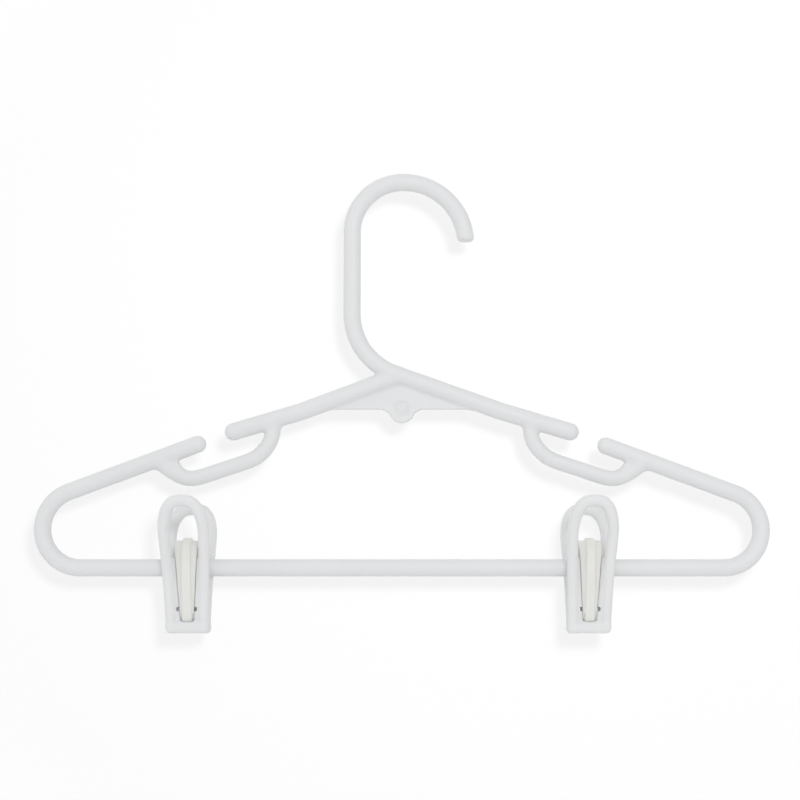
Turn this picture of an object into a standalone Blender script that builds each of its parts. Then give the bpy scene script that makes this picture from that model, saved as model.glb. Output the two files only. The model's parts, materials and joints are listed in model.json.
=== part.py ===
"""Clothes hanger: one moulded frame and two sliding pinch clips on its trouser bar.

The row frame is metres with +Z up. The origin is the hook's seat, the inner top of the hook that
bears on a rail. X runs along the bar, and the front of the hanger faces -Y.
"""
import math

import bmesh
import bpy
from mathutils import Matrix, Vector

MM = 0.001

# Frame moulding
OVERALL_WIDTH = 320.0 * MM
ARM_R = 3.65 * MM                # hook, stem and inner arms
RIM_R = 3.7 * MM                 # outer arms, end loops and trouser bar
STRAP_R = 3.4 * MM               # loops below the strap notches
HOOK_X = 0.6 * MM                # centre of the hook's two arcs
HOOK_LEFT_R = 22.6 * MM
HOOK_RIGHT_R = 27.8 * MM
HOOK_TIP_ANGLE = math.radians(4.0)
STEM_BEND_Z = -54.2 * MM
STEM_BEND_R = 30.2 * MM
STEM_BEND_ANGLE = math.radians(70.0)
ARM_KNEE = (44.0 * MM, -99.35 * MM)      # where the inner arm's slope eases
ARM_TIP = (73.75 * MM, -108.2 * MM)      # centre of the inner stub's round end
APEX_DROP = 0.35 * MM
END_LOOP_R = 17.0 * MM
BAR_Z = -167.4 * MM
OUTER_SLOPE = math.radians(20.4)
OUTER_TIP_X = 89.3 * MM          # centre of the outer stub's round end
WEB_T = 2.0 * MM
WEB_TOP_Z = -84.0 * MM
WEB_BOTTOM_Z = -98.4 * MM
WEB_HALF = 32.3 * MM
LOBE_R = 5.6 * MM
LOBE_Z = -98.8 * MM
GATE_Z = -97.7 * MM
GATE_OUTER_R = 2.8 * MM
GATE_INNER_R = 1.45 * MM
GATE_DEPTH = 0.4 * MM
GUSSET_T = 5.0 * MM

# Pinch clips
CLIP_X = (("left", -92.7 * MM), ("right", 81.1 * MM))
CLIP_SWING = math.radians(4.4)   # how far the clips' tops hang back about the bar
BAR_GAP = 0.3 * MM               # running clearance of the clips on the bar
LOOP_TOP = (-18.0 * MM, 27.3 * MM)       # y and z of the finger loop's top, from the bar's axis
BAR_LEVEL_Y = -6.9 * MM
KNEE = (-5.1 * MM, -8.0 * MM)
FOOT_Y = -2.7 * MM
FOOT_HALF = 9.1 * MM
FOOT_BOTTOM = -28.0 * MM
FOOT_TOP = -23.0 * MM
FOOT_OUTER_Y = -5.4 * MM
JAW_FACE_Y = -0.15 * MM          # half the gap between two closed jaws
LUG_X = (5.75 * MM, 9.3 * MM)     # inner and outer side of a saddle block
LUG_HALF_Z = 5.0 * MM
FLOOR_T = 1.4 * MM
FLOOR_TOP = -8.0 * MM
SLOT_HALF = 4.3 * MM
SLOT_Z = (-19.4 * MM, -16.2 * MM)
TOOTH_PITCH = 1.2 * MM
TOOTH_DEPTH = 0.5 * MM
TOOTH_COUNT = 3

# Leaf springs
LEAF_T = 1.4 * MM
LEAF_RISE = 10.4 * MM            # top of the bend's mid surface above the bar's axis
BEND_R = 5.3 * MM
LEAF_HALF_TOP = 5.3 * MM
LEAF_HALF_END = 3.4 * MM
LEAF_END = (-2.95 * MM, -22.5 * MM)
RIB_HALF = 1.85 * MM
RIB_RISE = 1.8 * MM               # at the bend; it falls to RIB_END at the leg's end
RIB_END = 1.0 * MM
NUB = (2.9 * MM, 1.5 * MM, 1.1 * MM)     # half length, height and depth of the spring's nub

SIDES = 20
ROD_SIDES = 14
ARC_STEP = math.radians(9.0)


def clear_scene():
    for obj in list(bpy.data.objects):
        bpy.data.objects.remove(obj, do_unlink=True)


def plastic(name, colour, roughness):
    mat = bpy.data.materials.new(name)
    mat.use_nodes = True
    shader = mat.node_tree.nodes["Principled BSDF"]
    shader.inputs["Base Color"].default_value = (*colour, 1.0)
    shader.inputs["Roughness"].default_value = roughness
    shader.inputs["Metallic"].default_value = 0.0
    return mat


def new_object(name, bm):
    bmesh.ops.recalc_face_normals(bm, faces=bm.faces)
    mesh = bpy.data.meshes.new(name)
    bm.to_mesh(mesh)
    bm.free()
    obj = bpy.data.objects.new(name, mesh)
    bpy.context.scene.collection.objects.link(obj)
    return obj


def arc(cx, cz, radius, start, end, step=ARC_STEP):
    """Points on an arc in the XZ plane, both ends included."""
    count = max(2, math.ceil(abs(end - start) / step))
    angles = [start + (end - start) * i / count for i in range(count + 1)]
    return [Vector((cx + radius * math.cos(a), 0.0, cz + radius * math.sin(a))) for a in angles]


def spline(points, per_span):
    """Catmull-Rom curve through the points."""
    ends = [points[0] * 2 - points[1]] + list(points) + [points[-1] * 2 - points[-2]]
    out = []
    for i in range(1, len(ends) - 2):
        p0, p1, p2, p3 = ends[i - 1:i + 3]
        for k in range(per_span):
            t = k / per_span
            out.append(0.5 * (2 * p1 + (p2 - p0) * t + (2 * p0 - 5 * p1 + 4 * p2 - p3) * t * t
                              + (3 * p1 - p0 - 3 * p2 + p3) * t ** 3))
    out.append(points[-1])
    return out


def round_end(points, radii, radius, reach, steps=4):
    """Carries a tube's last point on into a domed end that reaches past it."""
    base = points[-1]
    way = (points[-1] - points[-2]).normalized()
    for i in range(1, steps + 1):
        a = math.radians(80.0) * i / steps
        points.append(base + way * reach * math.sin(a))
        radii.append(radius * (1.0 - (1.0 - math.cos(a)) * min(1.0, reach / radius)))


def tube(name, points, radii, sides):
    """A closed tube of circular sections along an open path."""
    bm = bmesh.new()
    tangents = []
    for i, p in enumerate(points):
        before = points[max(i - 1, 0)]
        after = points[min(i + 1, len(points) - 1)]
        tangents.append((after - before).normalized())
    normal = tangents[0].orthogonal().normalized()
    if abs(tangents[0].y) < 0.9:
        normal = tangents[0].cross(Vector((0.0, 1.0, 0.0))).normalized()
    rings = []
    for p, t, r in zip(points, tangents, radii):
        normal = (normal - t * normal.dot(t)).normalized()
        side = t.cross(normal)
        ring = []
        for k in range(sides):
            a = 2.0 * math.pi * (k + 0.5) / sides
            ring.append(bm.verts.new(p + (normal * math.cos(a) + side * math.sin(a)) * r))
        rings.append(ring)
    for low, high in zip(rings, rings[1:]):
        for k in range(sides):
            bm.faces.new((low[k], low[(k + 1) % sides], high[(k + 1) % sides], high[k]))
    bm.faces.new(rings[0])
    bm.faces.new(rings[-1])
    return new_object(name, bm)


def prism(name, outline, axis, low, high):
    """Extrudes a polygon along Y from (x, z) pairs, or along X from (y, z) pairs."""
    bm = bmesh.new()
    ends = []
    for level in (low, high):
        if axis == "Y":
            ends.append([bm.verts.new((u, level, v)) for u, v in outline])
        else:
            ends.append([bm.verts.new((level, u, v)) for u, v in outline])
    count = len(outline)
    for k in range(count):
        n = (k + 1) % count
        bm.faces.new((ends[0][k], ends[0][n], ends[1][n], ends[1][k]))
    bm.faces.new(ends[0])
    bm.faces.new(ends[1])
    return new_object(name, bm)


def box(name, x, y, z):
    return prism(name, [(x[0], z[0]), (x[1], z[0]), (x[1], z[1]), (x[0], z[1])], "Y", *y)


def rounded_box(name, x, y, z, radius, steps=3):
    """A box whose four edges along Y are rounded."""
    outline = []
    corners = ((x[1], z[1], 0), (x[0], z[1], 90), (x[0], z[0], 180), (x[1], z[0], 270))
    for cx, cz, turn in corners:
        mx = cx - math.copysign(radius, cx - (x[0] + x[1]) / 2)
        mz = cz - math.copysign(radius, cz - (z[0] + z[1]) / 2)
        for k in range(steps + 1):
            a = math.radians(turn + 90.0 * k / steps)
            outline.append((mx + radius * math.cos(a), mz + radius * math.sin(a)))
    return prism(name, outline, "Y", *y)


def cylinder(name, axis, centre, radius, half, sides):
    """centre is (x, z) for an axis along Y, or (y, z) for an axis along X."""
    outline = []
    for k in range(sides):
        a = 2.0 * math.pi * (k + 0.5) / sides
        outline.append((centre[0] + radius * math.cos(a), centre[1] + radius * math.sin(a)))
    return prism(name, outline, axis, -half, half)


def bevel(obj, width, segments=2, angle=50.0):
    mod = obj.modifiers.new("bevel", "BEVEL")
    mod.width = width
    mod.segments = segments
    mod.limit_method = "ANGLE"
    mod.angle_limit = math.radians(angle)
    apply_modifiers(obj)


def apply_modifiers(obj):
    graph = bpy.context.evaluated_depsgraph_get()
    mesh = bpy.data.meshes.new_from_object(obj.evaluated_get(graph))
    obj.modifiers.clear()
    obj.data = mesh


def boolean(target, tool, operation):
    tool.hide_render = True
    tool.display_type = "WIRE"
    mod = target.modifiers.new("boolean", "BOOLEAN")
    mod.operation = operation
    mod.solver = "EXACT"
    mod.object = tool
    apply_modifiers(target)
    bpy.data.objects.remove(tool, do_unlink=True)


def tidy(obj, merge=0.01 * MM):
    bm = bmesh.new()
    bm.from_mesh(obj.data)
    bmesh.ops.remove_doubles(bm, verts=bm.verts, dist=merge)
    bmesh.ops.dissolve_degenerate(bm, edges=bm.edges, dist=merge)
    bmesh.ops.triangulate(bm, faces=[f for f in bm.faces if len(f.verts) > 4])
    bmesh.ops.recalc_face_normals(bm, faces=bm.faces)
    bm.to_mesh(obj.data)
    bm.free()


def finish(obj, name, mat, sharp=38.0):
    tidy(obj)
    obj.name = name
    obj.data.name = name
    obj.data.materials.clear()
    obj.data.materials.append(mat)
    obj.data.shade_smooth()
    obj.data.set_sharp_from_angle(angle=math.radians(sharp))
    return obj


def hook_and_arm():
    """Hook, stem and right inner arm, one continuous rod."""
    left_z = -(HOOK_LEFT_R - ARM_R)
    right_z = -(HOOK_RIGHT_R - ARM_R)
    bend_x = HOOK_X - HOOK_LEFT_R + STEM_BEND_R
    points = arc(HOOK_X, right_z, HOOK_RIGHT_R, HOOK_TIP_ANGLE, math.pi / 2)
    points += arc(HOOK_X, left_z, HOOK_LEFT_R, math.pi / 2, math.pi)[1:]
    points += arc(bend_x, STEM_BEND_Z, STEM_BEND_R, math.pi, math.pi + STEM_BEND_ANGLE)
    knee = Vector((ARM_KNEE[0], 0.0, ARM_KNEE[1]))
    tip = Vector((ARM_TIP[0], 0.0, ARM_TIP[1]))
    points += [points[-1].lerp(knee, 0.5), knee, knee.lerp(tip, 0.5), tip]
    radii = [ARM_R] * len(points)
    round_end(points, radii, ARM_R, ARM_R)
    points.reverse()
    radii.reverse()
    round_end(points, radii, ARM_R, 1.4 * MM, steps=3)
    return tube("hook_and_arm", points, radii, SIDES)


def left_inner_arm():
    apex = Vector((-1.2 * MM, 0.0, -82.9 * MM - APEX_DROP))
    knee = Vector((-ARM_KNEE[0], 0.0, ARM_KNEE[1]))
    tip = Vector((-ARM_TIP[0], 0.0, ARM_TIP[1]))
    points = [apex, apex.lerp(knee, 0.5), knee, knee.lerp(tip, 0.5), tip]
    radii = [ARM_R * 0.985] * len(points)
    round_end(points, radii, ARM_R * 0.985, ARM_R)
    return tube("left_inner_arm", points, radii, SIDES)


def loop_centre():
    x = OVERALL_WIDTH / 2 - RIM_R - END_LOOP_R
    return x, BAR_Z + END_LOOP_R


def outer_arm_z(x):
    """Height of an outer arm's centre line at a distance x from the middle."""
    cx, cz = loop_centre()
    touch_x = cx + END_LOOP_R * math.sin(OUTER_SLOPE)
    touch_z = cz + END_LOOP_R * math.cos(OUTER_SLOPE)
    return touch_z + (touch_x - x) * math.tan(OUTER_SLOPE)


def rim():
    """Outer arms, end loops and trouser bar, one continuous rod."""
    cx, cz = loop_centre()
    turn = math.pi / 2 - OUTER_SLOPE
    half = arc(cx, cz, END_LOOP_R, -math.pi / 2, turn)
    tip = Vector((OUTER_TIP_X, 0.0, outer_arm_z(OUTER_TIP_X)))
    half += [half[-1].lerp(tip, 0.5), tip]
    radii = [RIM_R] * len(half)
    round_end(half, radii, RIM_R, RIM_R)
    mirrored = [Vector((-p.x, 0.0, p.z)) for p in reversed(half)]
    return tube("rim", mirrored + half, list(reversed(radii)) + radii, SIDES)


def strap_path(side):
    """Centre line of the loop that hangs below a strap notch, from the inner arm outward."""
    spots = ((56.9, -103.4), (56.3, -108.0), (58.0, -113.2), (61.0, -117.5), (65.9, -120.8),
             (77.0, -124.6), (87.5, -128.1), (92.6, -128.8), (97.0, -127.6), (102.2, -124.5),
             (107.6, -120.3))
    return [Vector((side * x * MM, 0.0, z * MM)) for x, z in spots]


def strap_loop(side):
    points = spline(strap_path(side), 2)
    radii = [STRAP_R] * len(points)
    return tube("strap_loop", points, radii, SIDES - 2)


def strap_gusset(side):
    """Flat web in the corner where a strap loop runs into the outer arm."""
    corners = ((95.4, -124.7), (100.0, -126.6), (107.4, -121.8), (106.0, -119.5),
               (97.6, -116.6), (97.5, -121.2))
    outline = [(side * x * MM, z * MM) for x, z in corners]
    return prism("strap_gusset", outline, "Y", -GUSSET_T / 2, GUSSET_T / 2)


def web():
    """Thin plate under the apex with a round lobe below it."""
    lobe = []
    for k in range(13):
        a = math.radians(180.0 + 180.0 * k / 12)
        lobe.append((LOBE_R * math.cos(a), LOBE_Z + LOBE_R * math.sin(a)))
    flank_l = [(-8.8 * MM, WEB_BOTTOM_Z), (-7.0 * MM, WEB_BOTTOM_Z - 0.6 * MM)]
    flank_r = [(-x, z) for x, z in reversed(flank_l)]
    lobe = [p for p in lobe if p[1] < WEB_BOTTOM_Z - 1.4 * MM]
    outline = [(-WEB_HALF - 2.0 * MM, WEB_BOTTOM_Z)] + flank_l + lobe + flank_r
    outline += [(WEB_HALF + 2.0 * MM, WEB_BOTTOM_Z), (2.0 * MM, WEB_TOP_Z), (-2.0 * MM, WEB_TOP_Z)]
    plate = prism("web", outline, "Y", -WEB_T / 2, WEB_T / 2)
    return plate


def gate_recess(target):
    """Shallow ring with a nub in it, on both faces of the web."""
    for face in (-1.0, 1.0):
        y_in = face * (WEB_T / 2 - GATE_DEPTH)
        y_out = face * (WEB_T / 2 + 1.0 * MM)
        ring = round_cutter(GATE_OUTER_R, y_in, y_out)
        boolean(ring, round_cutter(GATE_INNER_R, y_in * 0.5, y_out + face * 1.0 * MM), "DIFFERENCE")
        boolean(target, ring, "DIFFERENCE")


def round_cutter(radius, y0, y1):
    outline = []
    for k in range(20):
        a = 2.0 * math.pi * k / 20
        outline.append((radius * math.cos(a), GATE_Z + radius * math.sin(a)))
    return prism("cutter", outline, "Y", min(y0, y1), max(y0, y1))


def hanger_frame(mat):
    frame = hook_and_arm()
    boolean(frame, left_inner_arm(), "UNION")
    boolean(frame, web(), "UNION")
    gate_recess(frame)
    outer = rim()
    for side in (-1.0, 1.0):
        boolean(outer, strap_gusset(side), "UNION")
        boolean(outer, strap_loop(side), "UNION")
    boolean(frame, outer, "UNION")
    return finish(frame, "hanger_frame", mat)


def side_y(z):
    """Depth of a jaw's rods at a height, measured from the bar's axis."""
    stops = ((FOOT_BOTTOM, FOOT_Y), (FOOT_TOP, FOOT_Y - 0.25 * MM), (KNEE[1], KNEE[0]),
             (0.0, BAR_LEVEL_Y), (LOOP_TOP[1], LOOP_TOP[0]))
    for (z0, y0), (z1, y1) in zip(stops, stops[1:]):
        if z <= z1:
            return y0 + (y1 - y0) * (z - z0) / (z1 - z0)
    return stops[-1][1]


def jaw_rod():
    """Rod that runs up one side of a jaw, over the finger loop and down the other side."""
    stations = ((-25.5, 6.85, 2.25), (-16.0, 7.25, 2.3), (-8.0, 7.6, 2.3), (0.0, 7.95, 2.35),
                (8.0, 8.3, 2.4), (14.0, 8.55, 2.4))
    crown = 14.0 * MM
    half = []
    radii = []
    for z, x, r in stations:
        half.append(Vector((x * MM, side_y(z * MM), z * MM)))
        radii.append(r * MM)
    for k in range(1, 6):
        a = math.radians(90.0 * k / 6)
        z = crown + (LOOP_TOP[1] - crown) * math.sin(a)
        half.append(Vector((8.55 * MM * math.cos(a) ** 0.75, side_y(z), z)))
        radii.append((2.4 + 0.15 * math.sin(a) ** 2) * MM)
    top = Vector((0.0, LOOP_TOP[0], LOOP_TOP[1]))
    mirrored = [Vector((-p.x, p.y, p.z)) for p in half]
    points = half + [top] + list(reversed(mirrored))
    return tube("jaw_rod", points, radii + [2.55 * MM] + list(reversed(radii)), ROD_SIDES)


def jaw_floor():
    """Recessed plate that closes the jaw's lower window, leaning with the rods."""
    low = (JAW_FACE_Y - 0.35 * MM, FOOT_TOP - 1.0 * MM)
    high = (-1.9 * MM, FLOOR_TOP)
    outline = [(low[0], low[1]), (high[0], high[1]), (high[0] - FLOOR_T, high[1]),
               (low[0] - FLOOR_T, low[1])]
    floor = prism("jaw_floor", outline, "X", -6.6 * MM, 6.6 * MM)
    slot = rounded_box("slot", (-SLOT_HALF, SLOT_HALF), (-8.0 * MM, 2.0 * MM), SLOT_Z, 0.5 * MM, 2)
    boolean(floor, slot, "DIFFERENCE")
    return floor


def jaw_lug(side):
    """Block that carries the saddle where the jaw rides on the bar."""
    x = (LUG_X[0], LUG_X[1]) if side > 0 else (-LUG_X[1], -LUG_X[0])
    lug = box("jaw_lug", x, (-7.4 * MM, -2.2 * MM), (-LUG_HALF_Z, LUG_HALF_Z))
    bevel(lug, 0.6 * MM, 1)
    return lug


def jaw_foot():
    foot = rounded_box("jaw_foot", (-FOOT_HALF, FOOT_HALF), (FOOT_OUTER_Y, JAW_FACE_Y),
                       (FOOT_BOTTOM, FOOT_TOP), 2.0 * MM)
    bevel(foot, 0.7 * MM, 2)
    for k in range(TOOTH_COUNT):
        z = (FOOT_BOTTOM + FOOT_TOP) / 2 + (k - (TOOTH_COUNT - 1) / 2) * TOOTH_PITCH
        half = TOOTH_PITCH * 0.4
        groove = [(JAW_FACE_Y + 0.5 * MM, z - half * 2), (JAW_FACE_Y + 0.5 * MM, z + half * 2),
                  (JAW_FACE_Y - TOOTH_DEPTH, z)]
        boolean(foot, prism("groove", groove, "X", -6.8 * MM, 6.8 * MM), "DIFFERENCE")
    return foot


def hang(obj, x):
    """Swings a clip's piece about the bar's axis and moves it to its place on the bar."""
    obj.data.transform(Matrix.Rotation(-CLIP_SWING, 4, "X"))
    obj.location = (x, 0.0, BAR_Z)


def clip_jaw(name, facing, x, mat):
    """A jaw about the bar's axis; facing is 1 for the front jaw and -1 for the rear one."""
    jaw = jaw_rod()
    for side in (-1.0, 1.0):
        boolean(jaw, jaw_lug(side), "UNION")
    boolean(jaw, jaw_floor(), "UNION")
    boolean(jaw, jaw_foot(), "UNION")
    bar = cylinder("bar_clearance", "X", (0.0, 0.0), RIM_R + BAR_GAP, 20.0 * MM, 28)
    boolean(jaw, bar, "DIFFERENCE")
    if facing < 0:
        jaw.data.transform(Matrix.Rotation(math.pi, 4, "Z"))
    hang(jaw, x)
    return finish(jaw, name, mat)


def leaf_path():
    """Mid surface of the front half of the leaf, from the bend's top down to the leg's end."""
    points = []
    for k in range(7):
        a = math.radians(90.0 + 90.0 * k / 6)
        points.append((BEND_R * math.cos(a), LEAF_RISE - BEND_R + BEND_R * math.sin(a)))
    points += [(-5.15 * MM, 0.0), (-5.0 * MM, -5.0 * MM), (-4.45 * MM, -11.0 * MM),
               (-3.75 * MM, -17.0 * MM)]
    points.append(LEAF_END)
    return points


def leaf_spring(name, x, mat):
    """U-shaped leaf with a rib on its outer face, over the bar and down both jaws."""
    half = leaf_path()
    path = [(-y, z) for y, z in reversed(half[1:])] + half
    bm = bmesh.new()
    rings = []
    for i, (y, z) in enumerate(path):
        y0, z0 = path[max(i - 1, 0)]
        y1, z1 = path[min(i + 1, len(path) - 1)]
        length = math.hypot(y1 - y0, z1 - z0)
        out_y = (z1 - z0) / length
        out_z = -(y1 - y0) / length
        share = (LEAF_RISE - z) / (LEAF_RISE - LEAF_END[1])
        w = LEAF_HALF_TOP + (LEAF_HALF_END - LEAF_HALF_TOP) * share
        last = i in (0, len(path) - 1)
        rise = LEAF_T / 2 + (0.3 * MM if last else RIB_RISE + (RIB_END - RIB_RISE) * share)
        section = ((-w, -LEAF_T / 2), (w, -LEAF_T / 2), (w, LEAF_T / 2), (RIB_HALF, LEAF_T / 2),
                   (RIB_HALF * 0.8, rise), (-RIB_HALF * 0.8, rise), (-RIB_HALF, LEAF_T / 2),
                   (-w, LEAF_T / 2))
        ring = [bm.verts.new((u, y + out_y * v, z + out_z * v)) for u, v in section]
        rings.append(ring)
    for low, high in zip(rings, rings[1:]):
        for k in range(8):
            n = (k + 1) % 8
            bm.faces.new((low[k], low[n], high[n], high[k]))
    bm.faces.new(rings[0])
    bm.faces.new(rings[-1])
    spring = new_object("leaf_spring", bm)
    for face in (-1.0, 1.0):
        y = sorted((face * 3.6 * MM, face * (3.6 * MM - NUB[2] - 0.6 * MM)))
        mid = (SLOT_Z[0] + SLOT_Z[1]) / 2
        nub = box("nub", (-NUB[0], NUB[0]), y, (mid - NUB[1] / 2, mid + NUB[1] / 2))
        boolean(spring, nub, "UNION")
    hang(spring, x)
    return finish(spring, name, mat)


def build():
    clear_scene()
    frame_mat = plastic("frame_plastic", (0.80, 0.81, 0.82), 0.42)
    jaw_mat = plastic("jaw_plastic", (0.81, 0.82, 0.83), 0.40)
    spring_mat = plastic("spring_plastic", (0.78, 0.77, 0.70), 0.45)
    hanger_frame(frame_mat)
    for side, x in CLIP_X:
        clip_jaw(f"{side}_clip_front_jaw", 1, x, jaw_mat)
        clip_jaw(f"{side}_clip_rear_jaw", -1, x, jaw_mat)
        leaf_spring(f"{side}_clip_spring", x, spring_mat)


build()
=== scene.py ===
import json
import math

import bmesh
import bpy
import numpy as np
from mathutils import Matrix, Vector

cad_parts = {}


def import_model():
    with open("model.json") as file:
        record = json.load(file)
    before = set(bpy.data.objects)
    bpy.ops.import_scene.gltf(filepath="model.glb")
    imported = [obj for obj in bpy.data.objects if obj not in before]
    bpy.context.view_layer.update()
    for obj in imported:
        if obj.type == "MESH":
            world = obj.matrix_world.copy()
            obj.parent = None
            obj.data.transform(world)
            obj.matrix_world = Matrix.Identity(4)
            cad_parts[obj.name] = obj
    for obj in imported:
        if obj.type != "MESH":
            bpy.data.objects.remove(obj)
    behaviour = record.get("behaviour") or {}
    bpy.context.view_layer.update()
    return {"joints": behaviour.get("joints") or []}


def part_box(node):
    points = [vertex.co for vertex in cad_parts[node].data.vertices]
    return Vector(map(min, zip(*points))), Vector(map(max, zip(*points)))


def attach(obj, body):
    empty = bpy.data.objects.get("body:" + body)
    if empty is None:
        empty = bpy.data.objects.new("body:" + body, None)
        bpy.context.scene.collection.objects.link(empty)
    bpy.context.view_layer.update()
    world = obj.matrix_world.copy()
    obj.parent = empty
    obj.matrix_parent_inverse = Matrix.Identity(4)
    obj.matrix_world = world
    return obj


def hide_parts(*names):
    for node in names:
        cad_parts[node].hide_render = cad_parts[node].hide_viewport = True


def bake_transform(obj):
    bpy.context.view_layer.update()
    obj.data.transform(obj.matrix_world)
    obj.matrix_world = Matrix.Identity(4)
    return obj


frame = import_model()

# A clothes hanger: one white moulding with a hook, and two pinch clips that slide on its trouser bar

MM = 0.001

# Positions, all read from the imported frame
JOINTS = {j["name"]: j for j in frame["joints"]}
FRAME_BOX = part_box("hanger_frame")
CLIP_AXES = {side: Vector(JOINTS[f"{side}_front_jaw_pinch"]["pos_m"]) for side in ("left", "right")}
BAR_Z = CLIP_AXES["left"].z

# Meshing: cell sizes, and the distance that stands for far away
GRID_FRAME = 0.5 * MM
GRID_JAW = 0.3 * MM
FAR = 6.0 * MM
GRID_MARGIN = 4         # cells round a solid
GRID_REACH = 3          # cells past a part's fillet in which it still counts
NEAR_REACH = 2.0 * MM   # the same for single points
ARC_STEPS = 24          # for the box round an arc, and the web's lobe
ARC_SPARE = 0.3 * MM    # added to the box round an arc
SMOOTHING_ROUNDS = 3
PROJECTION_STEPS = 2
MOVE_LIMIT = 0.6        # in cells, for one projection step
SLOPE_REACH = 0.03      # in cells, for the samples that find the surface
NORMAL_REACH = 0.12     # in cells, for the samples that give the normals
RELAX_SHARE = 0.6

# Frame moulding: rod radii
ARM_R = 3.65 * MM       # the CAD's; it places the hook's arcs
ROD_R = 3.8 * MM        # hook, stem and inner arms as shown
RIM_R = 3.7 * MM        # trouser bar, end loops and outer arms
STRAP_R = 3.35 * MM

# Frame moulding: hook and stem
HOOK_X = 0.6 * MM
HOOK_LEFT_R = 22.6 * MM
HOOK_RIGHT_R = 27.8 * MM
HOOK_DROP = 0.15 * MM
HOOK_TIP_ANGLE = math.radians(1.0)
HOOK_TIP_SPARE = 0.12   # radians of rod past the tip, cut off flat
HOOK_CUT_RISE = 0.75 * MM
HOOK_CUT_HALF = (8.0 * MM, 8.0 * MM, 6.0 * MM)
STEM_BEND_Z = -55.8 * MM
STEM_BEND_R = 28.5 * MM
STEM_BEND_ANGLE = math.radians(70.0)

# Frame moulding: arms, end loops and straps
HALF_WIDTH = (FRAME_BOX[1][0] - FRAME_BOX[0][0]) / 2
APEX = (-2.2 * MM, -83.63 * MM)
ARM_KNEE = (44.0 * MM, -99.35 * MM)
ARM_TIP = (73.75 * MM, -108.2 * MM)
END_LOOP_R = {-1: 17.0 * MM, 1: 16.6 * MM}
OUTER_SLOPE = math.radians(20.4)
OUTER_TIP_X = 89.3 * MM
STRAP_SPOTS = ((56.9, -105.0), (56.5, -108.5), (58.0, -113.2), (61.2, -117.4), (65.9, -120.6),
               (77.0, -124.4), (87.5, -127.9), (92.6, -128.6), (97.2, -127.3), (102.2, -124.3),
               (105.6, -121.6))     # X and Z in mm
STRAP_WEB = ((95.6, -125.0), (100.0, -126.4), (106.4, -122.4), (105.6, -119.5), (97.8, -117.0),
             (97.7, -121.6))        # X and Z in mm
STRAP_SPANS = 6
STRAP_WEB_T = 4.6 * MM
STRAP_WEB_EDGE = 0.6 * MM

# Frame moulding: web under the apex, with its lobe and gate mark
WEB_T = 2.0 * MM
WEB_EDGE = 0.25 * MM
WEB_TOP_Z = -84.0 * MM
WEB_TOP_HALF = 2.0 * MM
WEB_BOTTOM_Z = -98.4 * MM
WEB_HALF = 34.3 * MM
WEB_FLANK = ((-9.6, 0.0), (-8.4, -0.15), (-7.3, -0.6), (-6.3, -1.25))   # mm from the bottom edge
LOBE_R = 5.6 * MM
LOBE_Z = -98.8 * MM
LOBE_START = 1.6 * MM   # below the bottom edge, where the flanks end
GATE_Z = -97.7 * MM
GATE_R = 2.8 * MM
GATE_DEPTH = 0.05 * MM
GATE_TOOL = 2.0 * MM
GATE_TURNS = 64
GATE_PROFILE = ((2.95, -0.03), (2.85, -0.01), (2.65, 0.005), (2.45, -0.005), (2.2, -0.03),
                (2.05, -0.04), (1.9, -0.04), (1.65, -0.03), (1.4, 0.01), (1.2, 0.03), (1.0, 0.04),
                (0.55, 0.03), (0.25, -0.02))    # radius and height over the web's face in mm

# Frame moulding: fillets
HOOK_FILLET = 0.5 * MM
HOOK_CUT_FILLET = 2.3 * MM
ARM_FILLET = 1.6 * MM
STRAP_FILLET = 2.0 * MM
WEB_FILLET = 1.1 * MM
GATE_FILLET = 0.3 * MM

# Clips on the bar
CLIP_SWING = math.radians(4.4)                  # both tops hang back about the bar
CLIP_LEAN = {"left": -0.032, "right": 0.030}    # lean along the bar, per height
LOOP_SPREAD = 0.17                              # how far one side of a rear loop spreads
LOOP_SPREAD_Z = 20.0 * MM

# Jaw, in mm from the bar's axis unless it says otherwise
SIDE_DEPTHS = ((-28.0, -2.75), (-23.0, -3.0), (-8.0, -5.1), (0.0, -6.9), (27.3, -18.0),
               (31.0, -19.5))       # height and depth of the rods
SIDE_MEAN = (-2.0, -1.0, 0.0, 1.0, 2.0)     # heights about a station whose depths are averaged
SIDE_STATIONS = ((-25.6, 6.85, 2.25), (-16.0, 7.25, 2.3), (-8.0, 7.6, 2.3), (0.0, 7.95, 2.35),
                 (8.0, 8.3, 2.4), (14.0, 8.55, 2.4))    # height, X and radius of the rods
CROWN_Z = 14.0                      # where the finger loop starts to close, and its top
CROWN_TOP_Z = 27.3
CROWN_HALF = 8.55
CROWN_POWER = 0.71
CROWN_R = (2.4, 0.15, 0.12)         # rod radius, its growth at the top and at the shoulders
CROWN_STEPS = 6
ROD_SPANS = 5
JAW_FACE_Y = -0.15
BAR_GAP = 0.3 * MM
FLOOR_LEAN = math.atan2(1.5, 15.0)
LEDGE_SPOTS = ((5.85, -5.8, 3.0), (5.4, -5.25, -3.0), (4.4, -3.6, -17.0), (3.95, -2.9, -23.4))
LEDGE_R = 1.2
LEDGE_SPANS = 4
SADDLE_HALF = 20.0
GROOVE_Z = (-26.7, -25.5, -24.3)
GROOVE_HALF = (6.8, 0.42, 0.42)
GROOVE_DEPTH = 0.1

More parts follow.
